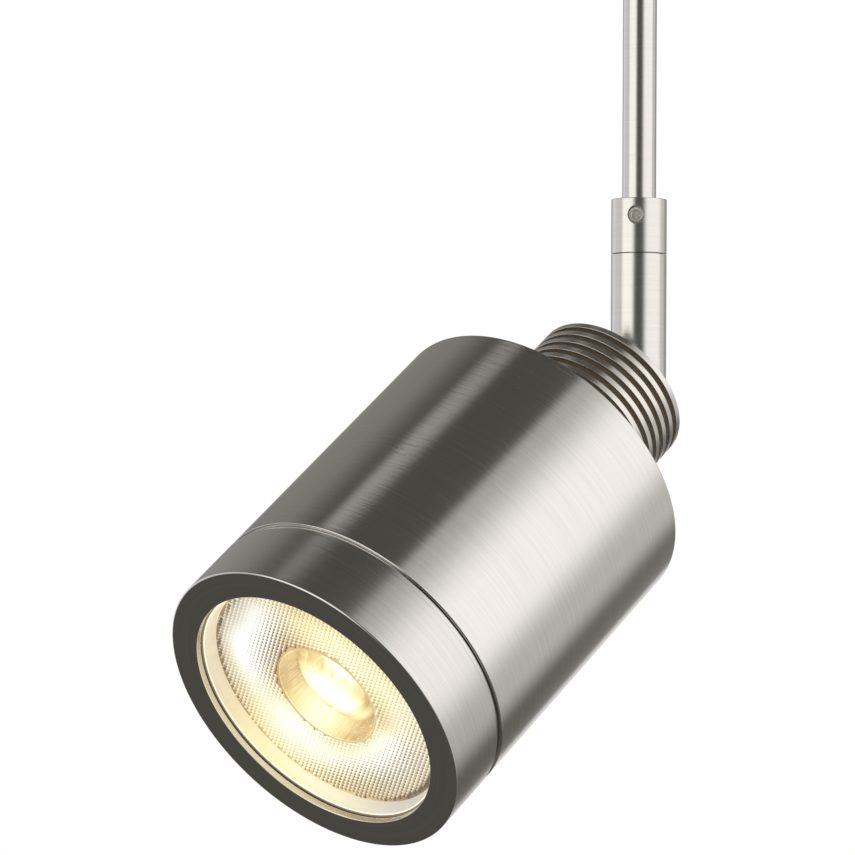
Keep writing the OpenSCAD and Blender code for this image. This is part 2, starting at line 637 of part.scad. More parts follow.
// The collimator: a cone under a rimmed disc, with a well over the light and a recess in its floor
lens_foot_r = emitter_d / 2 + 2.4;
lens_neck_r = flange_r - 2.6;
recess_floor = lens_floor - lens_recess_depth;
module optic_lens() color([0.95, 0.93, 0.85, 0.6]) in_head() turned(concat(
    [[0, lens_rear + 5], [lens_foot_r - 1.4, lens_rear + 4.4], [lens_foot_r - 1, lens_rear]],
    [for (t = [0 : 0.1 : 1])
        [lens_foot_r + (lens_neck_r - lens_foot_r) * pow(t, 0.8), lens_rear + (seat_front - lens_rear) * t]],
    [[flange_r, seat_front], [flange_r, lens_front], [lens_rim_r, lens_front], [lens_floor_r, lens_floor],
        [lens_recess_r, lens_floor], [lens_recess_r - 0.9, recess_floor],
        [lens_recess_r / 2, recess_floor + 0.6], [0, recess_floor + 0.9]]));

// ---- Bezel ----

module bezel_ring() color("silver") in_head() turned([
    [opening_r + 0.15, lip_rear], [opening_r, lip_rear + 0.15], [opening_r, bezel_front - 0.15],
    [opening_r + 0.15, bezel_front],
    [body_r - rim_chamfer, bezel_front], [body_r, bezel_front - rim_chamfer],
    [body_r, bezel_rear + rim_chamfer], [body_r - rim_chamfer, bezel_rear],
    [body_r - seam_depth, bezel_rear], [body_r - seam_depth, tube_front + slip],
    [thread_r, tube_front + slip], [thread_r, tube_front - thread_len], [bezel_bore_r, tube_front - thread_len],
    [bezel_bore_r, lip_rear]]);

module bezel_gasket() color("dimgray") in_head()
    ring(bezel_bore_r - slip, lens_rim_r + 0.5, lens_front + slip, lip_rear - slip);

adapter_housing();
adapter_cover();
cover_screws();
ground_strip();
terminal_live();
terminal_neutral();
terminal_screws();
lock_turret();
lock_lever();
turret_screw();
contact_live();
contact_neutral();
stem_ferrule();
stem_nut();
stem_tube();
lead_live();
lead_neutral();
coupling_sleeve();
set_screw();
swivel_stud();
swivel_washer();
swivel_barrel();
stop_pin();
tilt_screw();
barrel_leads();
tilt_lug();
friction_washers();
finned_neck();
neck_screws();
neck_leads();
wire_grommet();
housing_tube();
heat_spreader();
driver_board();
standoffs();
board_screws();
driver_capacitor();
driver_coil();
driver_chip();
input_terminal();
led_leads();
led_board();
led_screws();
led_emitter();
optic_holder();
holder_screws();
optic_lens();
bezel_ring();
bezel_gasket();
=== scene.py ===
"""Track spotlight in brushed nickel: turned shells, lit collimator lens, finishes, studio and camera.

Lengths below are millimetres until they reach Blender, which works in metres. Head parts are made hanging
straight down about the tilt axis, so a station is a distance below that axis, and are then swung to the aim.
"""
import math

import bpy
from mathutils import Matrix, Vector


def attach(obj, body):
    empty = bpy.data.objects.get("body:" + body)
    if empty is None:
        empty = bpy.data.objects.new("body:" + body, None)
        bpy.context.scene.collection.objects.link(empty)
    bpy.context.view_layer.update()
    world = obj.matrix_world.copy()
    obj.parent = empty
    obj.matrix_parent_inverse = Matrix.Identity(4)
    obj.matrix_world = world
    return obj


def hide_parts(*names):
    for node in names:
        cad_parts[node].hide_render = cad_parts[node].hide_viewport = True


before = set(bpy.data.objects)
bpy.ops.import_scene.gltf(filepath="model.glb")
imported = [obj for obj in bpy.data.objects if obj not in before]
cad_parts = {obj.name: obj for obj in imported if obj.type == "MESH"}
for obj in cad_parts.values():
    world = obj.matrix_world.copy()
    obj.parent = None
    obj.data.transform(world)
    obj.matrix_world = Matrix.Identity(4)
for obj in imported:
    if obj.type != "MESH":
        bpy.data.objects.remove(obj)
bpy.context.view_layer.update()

MM = 0.001
DEGREES = 57.29578
AIM_TILT = math.radians(52.3)
PIVOT = Vector((0, 0, -126.25))

# Stations along the head, from the tilt axis
NECK_REAR = 10.2
TUBE_REAR = 35.2
TUBE_FRONT = 91.8
BEZEL_REAR = 93.3
BEZEL_FRONT = 105.9
LIP_REAR = 104.6
LENS_FRONT = 104.2
LENS_FLOOR = 101.6
LENS_REAR = 85.6

# Radii
BODY_R = 30.0
BODY_BORE_R = 28.0
THREAD_R = 27.95
OPENING_R = 24.6
BEZEL_BORE_R = 26.65
SEAM_R = 29.4
NECK_R = 15.4
CORE_R = 11.8
NECK_BORE_R = 5.5
LUG_POCKET_R = 6.05
FLANGE_R = 25.2
LENS_RIM_R = 24.3
LENS_FLOOR_R = 23.7
RECESS_R = 10.08

# Depths and thicknesses
LUG_POCKET = 8.2
BEZEL_CHAMFER = 0.22
THREAD_LEN = 4
REAR_WALL = 4

# The stem's coupling and its set screw, as heights and radii about the stem's axis
SEAM_Z = -106.45
COUPLING_TOP = -96.2
SCREW_Z = -99.4
SCREW_TURN = math.radians(35.4)
SCREW_R = 1.6
SCREW_SINK = 0.43
SLEEVE_R = 5.2
STEM_R = 3.175
STEM_SEAT_Z = -102.7
STUD_R = 2.6
TRACK_R = 4.05
TRACK_DEPTH = 1.3
STOP_PIN_HALF = 0.5
FIT = 0.05

# The neck's fins
FIN_T = 1.16
FIN_PITCH = 2.33
FIN_COUNT = 10
REAR_DISC = 1.2


# ---- Modelling ----

def deselect():
    if bpy.context.object and bpy.context.object.mode != "OBJECT":
        bpy.ops.object.mode_set(mode="OBJECT")
    bpy.ops.object.select_all(action="DESELECT")


def only(piece):
    """Makes one piece the selected and active one."""
    deselect()
    piece.select_set(True)
    bpy.context.view_layer.objects.active = piece


def edit_all(piece):
    """Opens a piece in edit mode with everything selected."""
    only(piece)
    bpy.ops.object.mode_set(mode="EDIT")
    bpy.ops.mesh.select_all(action="SELECT")


def leave_edit():
    bpy.ops.object.mode_set(mode="OBJECT")


def face_outwards(piece):
    edit_all(piece)
    bpy.ops.mesh.normals_make_consistent(inside=False)
    leave_edit()


def cap_ends(piece):
    """Closes the open ends of a turned piece."""
    edit_all(piece)
    bpy.ops.mesh.fill_holes(sides=0)
    leave_edit()
    face_outwards(piece)


def pick_faces(piece, wanted):
    """Opens a piece in edit mode with just these faces selected, by number."""
    only(piece)
    bpy.ops.object.mode_set(mode="EDIT")
    bpy.ops.mesh.select_mode(type="FACE")
    bpy.ops.mesh.select_all(action="DESELECT")
    bpy.ops.object.mode_set(mode="OBJECT")
    for number in wanted:
        piece.data.polygons[number].select = True
    bpy.ops.object.mode_set(mode="EDIT")


def rounded(outline, radius, closed=True, steps=3):
    """An outline of (radius, height) points with its corners eased, held by a point on either side."""
    count = len(outline)
    eased = []
    for i, point in enumerate(outline):
        here = Vector(point)
        if not closed and i in (0, count - 1):
            eased.append(tuple(here))
            continue
        before, after = Vector(outline[i - 1]) - here, Vector(outline[(i + 1) % count]) - here
        reach = min(radius, before.length * 0.3, after.length * 0.3)
        a, b = here + before.normalized() * reach, here + after.normalized() * reach
        eased.append(tuple(here + before.normalized() * reach * 1.5))
        for k in range(steps + 1):
            t = k / steps
            eased.append(tuple(a * (1 - t) ** 2 + here * 2 * t * (1 - t) + b * t * t))
        eased.append(tuple(here + after.normalized() * reach * 1.5))
    return eased


def turn(name, outline, sides=256, closed=True):
    """Turns an outline about Z: a circle is drawn out from point to point and widened to each radius."""
    deselect()
    first_r, first_z = outline[0]
    bpy.ops.mesh.primitive_circle_add(
        vertices=sides, radius=first_r * MM, location=(0, 0, first_z * MM), fill_type="NOTHING")
    piece = bpy.context.object
    piece.name = piece.data.name = name
    bpy.ops.object.transform_apply(location=True, rotation=True, scale=True)
    bpy.ops.object.mode_set(mode="EDIT")
    bpy.ops.mesh.select_all(action="SELECT")
    points = list(outline) + ([outline[0]] if closed else [])
    for (r0, z0), (r1, z1) in zip(points, points[1:]):
        bpy.ops.mesh.extrude_edges_move(TRANSFORM_OT_translate={"value": (0, 0, (z1 - z0) * MM)})
        if r1 <= 0:
            bpy.ops.mesh.merge(type="COLLAPSE")
        elif abs(r1 - r0) > 1e-9:
            bpy.ops.transform.resize(value=(r1 / r0, r1 / r0, 1), center_override=(0, 0, 0))
    bpy.ops.mesh.select_all(action="SELECT")
    bpy.ops.mesh.remove_doubles(threshold=1e-7)
    bpy.ops.mesh.normals_make_consistent(inside=False)
    bpy.ops.object.mode_set(mode="OBJECT")
    return piece


def smooth(piece, degrees=30):
    only(piece)
    bpy.ops.object.shade_smooth_by_angle(angle=math.radians(degrees))


def swing_to_aim(piece):
    """Moves a piece drawn about the tilt axis to its place in the aimed head."""
    only(piece)
    piece.rotation_euler = (-AIM_TILT, 0, 0)
    piece.location = PIVOT * MM
    bpy.ops.object.transform_apply(location=True, rotation=True, scale=True)


def head_turned(name, outline, radius=0.08, closed=True, sides=256):
    """A turned piece of the head from (radius, station) points."""
    drawn = [(r, -s) for r, s in outline]
    piece = turn(name, rounded(drawn, radius, closed) if radius else drawn, sides, closed)
    smooth(piece)
    swing_to_aim(piece)
    return piece


# ---- Shader building ----

class Term:
    """A shader value that takes part in ordinary arithmetic."""

    def __init__(self, graph, socket):
        self.graph, self.socket = graph, socket

    def _math(self, operation, *others):
        values = [o.socket if isinstance(o, Term) else o for o in others]
        node = self.graph.node("ShaderNodeMath", {"operation": operation},
                               {i: v for i, v in enumerate(values)})
        return Term(self.graph, node.outputs[0])

    def __add__(self, other): return self._math("ADD", self, other)
    def __radd__(self, other): return self._math("ADD", other, self)
    def __sub__(self, other): return self._math("SUBTRACT", self, other)
    def __rsub__(self, other): return self._math("SUBTRACT", other, self)
    def __mul__(self, other): return self._math("MULTIPLY", self, other)
    def __rmul__(self, other): return self._math("MULTIPLY", other, self)
    def __truediv__(self, other): return self._math("DIVIDE", self, other)
    def __mod__(self, other): return self._math("FLOORED_MODULO", self, other)
    def __abs__(self): return self._math("ABSOLUTE", self)

    def of(self, operation, *others): return self._math(operation, self, *others)


class Graph:
    """The node tree of a material or of the world."""

    def __init__(self, tree):
        self.tree = tree
        tree.nodes.clear()

    def node(self, kind, settings=None, inputs=None):
        """Adds a node, sets it up, then fills or links its sockets."""
        node = self.tree.nodes.new(kind)
        for key, value in (settings or {}).items():
            if key == "stops":
                ramp = node.color_ramp
                while len(ramp.elements) < len(value):
                    ramp.elements.new(0.5)
                for element, (place, colour) in zip(ramp.elements, value):
                    element.position = place
                    element.color = (*colour, 1) if len(colour) == 3 else colour
            else:
                setattr(node, key, value)
        for key, value in (inputs or {}).items():
            if isinstance(value, Term):
                value = value.socket
            if isinstance(value, bpy.types.NodeSocket):
                self.tree.links.new(value, node.inputs[key])
            else:
                node.inputs[key].default_value = value
        return node

    def term(self, kind, settings=None, inputs=None, output=0):
        return Term(self, self.node(kind, settings, inputs).outputs[output])

    def xyz(self, x, y, z):
        return self.term("ShaderNodeCombineXYZ", None, {0: x, 1: y, 2: z})

    def split(self, vector):
        node = self.node("ShaderNodeSeparateXYZ", None, {0: vector})
        return [Term(self, o) for o in node.outputs]

    def noise(self, vector, scale=1.0, detail=2.0, roughness=0.5):
        return self.term("ShaderNodeTexNoise", {"noise_dimensions": "3D"},
                         {"Vector": vector, "Scale": scale, "Detail": detail, "Roughness": roughness})

    def ramp(self, factor, *stops, interpolation="LINEAR"):
        node = self.node("ShaderNodeValToRGB", {"stops": stops}, {0: factor})
        node.color_ramp.interpolation = interpolation
        return Term(self, node.outputs[0])

    def mix(self, factor, a, b):
        return self.term("ShaderNodeMix", {"data_type": "RGBA"}, {0: factor, 6: a, 7: b}, output=2)

    def step(self, value, start, end, low=0.0, high=1.0):
        """Runs smoothly from low at start to high at end."""
        if start > end:
            start, end, low, high = end, start, high, low
        return self.term("ShaderNodeMapRange", {"interpolation_type": "SMOOTHSTEP"},
                         {0: value, 1: start, 2: end, 3: low, 4: high})

    def bump(self, height, distance, normal=None):
        inputs = {"Height": height, "Strength": 1.0, "Distance": distance}
        if normal is not None:
            inputs["Normal"] = normal
        return self.term("ShaderNodeBump", None, inputs)


def material(name):
    made = bpy.data.materials.new(name)
    made.use_nodes = True
    graph = Graph(made.node_tree)
    return made, graph


def finish(graph, **inputs):
    """Ends a material in one Principled shader. Names are its sockets, with spaces as underscores."""
    shader = graph.node("ShaderNodeBsdfPrincipled", None, {k.replace("_", " "): v for k, v in inputs.items()})
    graph.node("ShaderNodeOutputMaterial", None, {0: shader.outputs[0]})
    return shader


def head_axes(graph):
    """Coordinates of the head hanging straight down, in metres from its tilt axis."""
    place = graph.term("ShaderNodeTexCoord", output=3)
    turned = graph.term("ShaderNodeMapping", {"vector_type": "TEXTURE"},
                        {0: place, 1: PIVOT * MM, 2: (-AIM_TILT, 0, 0)})
    return graph.split(turned)


def upright_axes(graph):
    return graph.split(graph.term("ShaderNodeTexCoord", output=3))


def rgb(r, g, b):
    return (r, g, b, 1)


def brushed(name, axes, colour, rough, around=60, along=7000, depth=9e-6, tint=0.04, spread=0.05):
    """Metal polished on a lathe: fine lines run round the axis, with a few longer scratches."""
    made, g = material(name)
    x, y, z = axes(g)
    radius = (x * x + y * y).of("SQRT")
    run = z + radius
    fine = g.noise(g.xyz(x * around, y * around, run * along), detail=2)
    coarse = g.noise(g.xyz(x * around * 0.5, y * around * 0.5, run * along * 0.22), detail=3)
    cloud = g.noise(g.xyz(x * 40, y * 40, z * 40), detail=4)
    nick = g.step(g.noise(g.xyz(x * 150, y * 150, run * 3200), detail=0), 0.78, 0.83)
    lines = fine * 0.6 + coarse * 0.4
    shade = g.step(lines, 0.3, 0.7)
    dark = tuple(c * (1 - tint) for c in colour)
    light = tuple(min(1, c * (1 + tint)) for c in colour)
    base = g.mix(shade, rgb(*dark), rgb(*light))
    base = g.mix(nick * 0.35, base, rgb(*(min(1, c * 1.18) for c in colour)))
    roughness = rough + (lines - 0.5) * spread + (cloud - 0.5) * 0.05
    height = fine * 0.5 + coarse * 1.0 + nick * 0.8
    finish(g, Base_Color=base, Metallic=1.0, Roughness=roughness, Normal=g.bump(height, depth))
    return made


def plain(name, colour, rough, grain=900, depth=6e-6, metallic=0.0, shift=0.12, coat=0.0, patch=120):
    """A moulded, cast, plated or painted surface: fine grain, with slow changes of tone and gloss."""
    made, g = material(name)
    place = g.term("ShaderNodeTexCoord", output=3)
    fine = g.noise(place, grain, 3)
    slow = g.noise(place, patch, 4)
    dark = tuple(c * (1 - shift) for c in colour)
    light = tuple(min(1, c * (1 + shift)) for c in colour)
    base = g.mix(g.step(slow * 0.6 + fine * 0.4, 0.3, 0.7), rgb(*dark), rgb(*light))
    roughness = rough + (slow - 0.5) * 0.18 + (fine - 0.5) * 0.08
    finish(g, Base_Color=base, Metallic=metallic, Roughness=roughness, Coat_Weight=coat, Coat_Roughness=0.08,
           Normal=g.bump(fine, depth))
    return made


NICKEL = (0.73, 0.715, 0.69)


def paint(r, g, b, gain=1.0):
    """A linear colour from display values of 0 to 255."""
    def linear(v):
        v /= 255
        return v / 12.92 if v <= 0.04045 else ((v + 0.055) / 1.055) ** 2.4
    return (linear(r) * gain, linear(g) * gain, linear(b) * gain)


# ---- Camera ----

def studio_camera():
    azimuth, elevation, roll = math.radians(44.726), math.radians(-2.590), math.radians(0.395)
    distance, across, above = 803.96, 39.42, 12.62
    back = Vector((math.sin(azimuth) * math.cos(elevation), -math.cos(azimuth) * math.cos(elevation),
                   math.sin(elevation)))
    right = (-back).cross(Vector((0, 0, 1))).normalized()
    up = right.cross(-back)
    right, up = (right * math.cos(roll) + up * math.sin(roll), up * math.cos(roll) - right * math.sin(roll))
    camera = bpy.data.objects.new("studio_camera", bpy.data.cameras.new("studio_camera"))
    bpy.context.scene.collection.objects.link(camera)
    camera.data.lens, camera.data.sensor_width = 181.07, 36
    camera.data.clip_start, camera.data.clip_end = 0.01, 100
    place = (PIVOT + back * distance - right * across - up * above) * MM
    turned = Matrix((right, up, back)).transposed().to_4x4()
    camera.matrix_world = Matrix.Translation(place) @ turned
    bpy.context.scene.camera = camera


# ---- Studio ----

def light_patch(g, azimuth, elevation, at, half, soft):
    """A soft-edged light on the studio's walls. Centre, half widths and edges are (azimuth, elevation)."""
    turn_away = abs((azimuth - at[0] + 540.0) % 360.0 - 180.0)
    rise = abs(elevation - at[1])
    return (g.step(turn_away, half[0] - soft[0] / 2, half[0] + soft[0] / 2, 1.0, 0.0)
            * g.step(rise, half[1] - soft[1] / 2, half[1] + soft[1] / 2, 1.0, 0.0))


def studio_light():
    """What the metal mirrors: a tall light at the right, a low one in front, a card at the left."""
    world = bpy.data.worlds.new("studio")
    bpy.context.scene.world = world
    world.use_nodes = True
    g = Graph(world.node_tree)
    dx, dy, dz = g.split(g.term("ShaderNodeTexCoord", output=0))
    azimuth = dx.of("ARCTAN2", dy * -1.0) * DEGREES
    elevation = dz.of("ARCSINE") * DEGREES
    patches = [
        # centre, half width, edge, strength and colour
        ((105, 16), (38, 25), (24, 30), 0.70, (1.0, 0.985, 0.96)),   # heart of the right light
        ((118, 10), (52, 50), (24, 6), 0.42, (1.0, 0.985, 0.955)),   # its whole panel, sharp on top
        ((-172, 4), (34, 18), (30, 24), 0.25, (1.0, 0.98, 0.95)),    # the wall behind
        ((-136, -4), (17, 9), (10, 8), 0.45, (1.0, 0.98, 0.98)),
        ((-112, 20), (34, 34), (20, 30), 0.16, (1.0, 0.98, 0.95)),
        ((-68, 0), (34, 22), (30, 22), 0.64, (1.0, 0.985, 1.03)),    # the left card
        ((-6, 0), (26, 24), (16, 30), 1.20, (1.0, 0.985, 0.93)),     # the low front light
        ((-88, 75), (8, 7), (10, 8), 0.42, (1.0, 0.99, 0.97)),
    ]
    total = g.term("ShaderNodeRGB")
    total.socket.default_value = (0.088, 0.084, 0.073, 1)
    total = total.socket
    for at, half, soft, strength, colour in patches:
        amount = light_patch(g, azimuth, elevation, at, half, soft) * strength
        scaled = g.term("ShaderNodeVectorMath", {"operation": "SCALE"}, {0: colour, 3: amount})
        total = g.term("ShaderNodeVectorMath", {"operation": "ADD"}, {0: total, 1: scaled}).socket
    lit = g.node("ShaderNodeBackground", None, {0: total, 1: 1.0})
    seen = g.node("ShaderNodeBackground", None, {0: (1, 1, 1, 1), 1: 1.0})
    path = g.node("ShaderNodeLightPath")
    both = g.node("ShaderNodeMixShader", None, {0: path.outputs[0], 1: lit.outputs[0], 2: seen.outputs[0]})
    g.node("ShaderNodeOutputWorld", None, {0: both.outputs[0]})
    bpy.context.scene.view_settings.view_transform = "Standard"
    bpy.context.scene.view_settings.look = "None"


def pale_floor():
    deselect()
    bpy.ops.mesh.primitive_circle_add(vertices=128, radius=12, location=(0, 0, -1.8), fill_type="NGON")
    floor = bpy.context.object
    floor.name = "pale_floor"
    made, g = material("pale_floor")
    place = g.term("ShaderNodeTexCoord", output=3)
    x, y, z = g.split(place)
    far = g.step((x * x + y * y).of("SQRT"), 1.5, 9.0, 0.55, 1.0)
    tone = g.mix(g.noise(place, 3.0, 4), rgb(0.86, 0.855, 0.845), rgb(0.90, 0.895, 0.885))
    matt = g.node("ShaderNodeBsdfPrincipled", None, {"Base Color": tone, "Roughness": 0.7})
    glow = g.node("ShaderNodeEmission", None, {0: (1, 1, 1, 1), 1: 1.0})
    both = g.node("ShaderNodeMixShader", None, {0: far, 1: matt.outputs[0], 2: glow.outputs[0]})
    g.node("ShaderNodeOutputMaterial", None, {0: both.outputs[0]})
    floor.data.materials.append(made)
    floor.visible_glossy = False


# ---- The lens ----

def lens_plane(g):
    """Coordinates on the lens in millimetres, X to the right and Y up the lens, and how the surface leans."""
    x, y, z = head_axes(g)
    lean = g.term("ShaderNodeMapping", {"vector_type": "TEXTURE"},
                  {0: g.term("ShaderNodeTexCoord", output=1), 2: (-AIM_TILT, 0, 0)})
    nx, ny, _ = g.split(lean)
    return x * 1000.0, y * -1000.0, z * -1000.0, nx, ny * -1.0


def glow(x, y, cx, cy, length, width, angle=0.0):
    """A soft oval of light on the lens."""
    c, s = math.cos(math.radians(angle)), math.sin(math.radians(angle))
    u = ((x - cx) * c + (y - cy) * s) / length
    v = ((y - cy) * c - (x - cx) * s) / width
    return ((u * u + v * v) * -0.5).of("EXPONENT")


GAIN = 1.25
WARM = ((0.0, (92, 70, 40)), (0.16, (140, 112, 70)), (0.32, (198, 166, 112)), (0.44, (232, 206, 146)),
        (0.56, (250, 234, 170)), (0.70, (255, 251, 214)), (1.0, (255, 255, 248)))
PALE = ((0.0, (88, 82, 70)), (0.16, (134, 127, 112)), (0.32, (182, 176, 164)), (0.46, (216, 211, 202)),
        (0.58, (240, 237, 231)), (0.72, (253, 252, 250)), (1.0, (255, 255, 255)))


def lit_colour(g, level, warmth):
    """The colour of lit acrylic: level 1 is just white hot, warmth runs from grey-white to tan and cream."""
    amount = level / 1.3
    warm = g.ramp(amount, *[(p, paint(*c, gain=1 / GAIN)) for p, c in WARM])
    pale = g.ramp(amount, *[(p, paint(*c, gain=1 / GAIN)) for p, c in PALE])
    hot = g.step(level, 1.05, 1.5)
    return g.mix(hot, g.mix(warmth, pale, warm), rgb(1, 1, 1))


def acrylic(name, paint_level):
    made, g = material(name)
    x, y, station, nx, ny = lens_plane(g)
    level, warmth = paint_level(g, x, y, station, nx, ny)
    clear = g.mix(warmth, rgb(0.10, 0.10, 0.095), rgb(0.11, 0.10, 0.075))
    # The lens's glow is painted light: the lamp's light through the acrylic, with its streaks, glows and
    # shades, painted as emission.
    finish(g, Base_Color=clear, Roughness=0.12, IOR=1.49,
           Emission_Color=lit_colour(g, level, warmth), Emission_Strength=GAIN)
    return made


def pillow_level(g, x, y, station, nx, ny):
    """The patterned floor in painted light: streaks of light thrown up it, with tan, grey and glowing
    stretches between, painted shade in spots and towards its edge, and each pillow lit by the way it leans.
    """
    px, py = x + nx * 6.0, y + ny * 6.0
    streaks = (glow(px, py, -8, 14.5, 6.0, 1.9, 40) * 0.62
               + glow(px, py, -14.6, 6.5, 5.0, 2.0, 82) * 0.55
               + glow(px, py, -11, -7, 5.0, 4.2, -50) * 0.72
               + glow(px, py, -2, -13.8, 7.0, 1.9, 3) * 0.46
               + glow(px, py, 9, -10.4, 4.4, 1.6, 28) * 0.62
               + glow(px, py, -18, -11, 5.0, 2.6, -60) * 0.16)
    glows = (glow(px, py, 11, 9, 8.0, 4.2, -52) * 0.40 + glow(px, py, 16.5, -3, 5.0, 4.5, 0) * 0.24
             + glow(px, py, 4, 15, 4.0, 3.0, -20) * 0.08)
    shades = (glow(px, py, -3.0, 11.2, 3.6, 2.4, 10) * 0.14 + glow(px, py, 6, 20, 6.0, 2.6, -20) * 0.08
              + glow(px, py, 11.7, -3, 1.5, 3.4, 0) * 0.20 + glow(px, py, -3, -20.5, 12.0, 2.6, -6) * 0.08
              + glow(px, py, -18.5, 15, 7.0, 2.4, 55) * 0.06)
    # Painted shading of each pillow by the way it leans.
    lean = ny * 0.75 - nx * 0.55
    level = 0.48 + streaks + glows - shades + lean * 0.85 + (g.noise(g.xyz(x, y, 0.0), 0.35, 2) - 0.5) * 0.14
    edge = g.step((x * x + y * y).of("SQRT"), 22.0, 23.4)
    # Painted shade towards the floor's edge, deepest on two sides.
    painted_side_shade = glow(x, y, -20, 12, 12.0, 6.0, 62) + glow(x, y, 13, -19, 9.0, 4.0, 32)
    level = level - edge * (0.05 + painted_side_shade * 0.55)
    warmth = 0.95 - glow(x, y, -11.5, 14, 11.0, 5.5, 48) * 0.95 - glow(x, y, 9, -15, 11.0, 6.0, 18) * 0.68
    return level, warmth


def wall_level(g, x, y, station, nx, ny):
    """The smooth clear rim round the patterned floor, in painted light, with a painted highlight along its
    front edge.
    """
    lines = g.noise(g.xyz(x * 1.2, y * 1.2, station * 0.25), 1.0, 3)
    level = (0.58 + glow(x, y, -17, -17, 10.0, 6.0, -45) * 0.22 - glow(x, y, 10, -22, 8.0, 4.0, 20) * 0.08
             + (lines - 0.5) * 0.10 + g.step(station, 103.95, 104.1) * 0.3)
    warmth = 0.40 + glow(x, y, -20, -12, 10.0, 8.0, -50) * 0.45 - glow(x, y, 8, -23, 9.0, 5.0) * 0.40
    return level, warmth


def flange_level(g, x, y, station, nx, ny):
    """The flange's face in the shadow of the bezel's lip."""
    return 0.10 + g.noise(g.xyz(x, y, 0.0), 0.8, 2) * 0.1, 0.8


def ledge_level(g, x, y, station, nx, ny):
    """The strip of floor outside the pattern, in painted light, with painted shade on two sides."""
    painted_side_shade = glow(x, y, -21, 10, 13.0, 8.0, 65) + glow(x, y, 12, -20, 9.0, 5.0, 30)
    return 0.50 - painted_side_shade * 0.42, 0.95


def recess_wall_level(g, x, y, station, nx, ny):
    """The recess's wall in painted light: tan at the left, yellow nearest the light, tan with painted glints
    at the lower right, and a painted highlight along its upper edge.
    """
    flutes = g.noise(g.xyz(x * 2.2, y * 2.2, station * 0.12), 1.0, 1)
    painted_glints = g.step(g.noise(g.xyz(x, y, station), 2.6, 0), 0.68, 0.76)
    mouth_highlight = g.step(station, 101.3, 101.5)
    level = (0.42 + glow(x, y, -7.2, -5.8, 4.2, 3.6, -50) * 0.50
             - glow(x, y, 5.0, -8.5, 4.5, 3.0, 25) * 0.08 + (flutes - 0.5) * 0.30
             + glow(x, y, 3.0, 9.5, 5.0, 3.0, -15) * 0.30
             + painted_glints * glow(x, y, 6, -7, 4.5, 3.5) * 0.6 + mouth_highlight * 0.22)
    return level, 1.0


def recess_floor_level(g, x, y, station, nx, ny):
    """The light source as the recess's floor shows it: two white-hot spots with faint rings round them."""
    radius = (x * x + y * y).of("SQRT")
    off = ((x + 5.5) * (x + 5.5) + (y - 6.0) * (y - 6.0)).of("SQRT")
    rings = ((off * 2.6).of("SINE") * 0.06
             + (g.noise(g.xyz(off * 1.6, x * 0.08, y * 0.08), 1.0, 2) - 0.5) * 0.36)
    level = (0.50 + rings
             + glow(x, y, -3.6, -2.6, 4.6, 2.6, -40) * 1.05
             + glow(x, y, 3.4, 3.4, 3.0, 2.2, -40) * 0.90
             + glow(x, y, 0, 0, 4.5, 4.5, 0) * 0.12
             - glow(x, y, -5.5, 5.5, 3.0, 3.0, 0) * 0.06
             - glow(x, y, 5.0, -6.0, 5.0, 2.2, 20) * 0.26
             - g.step(radius, 7.6, 9.0) * 0.10)
    return level, 1.0


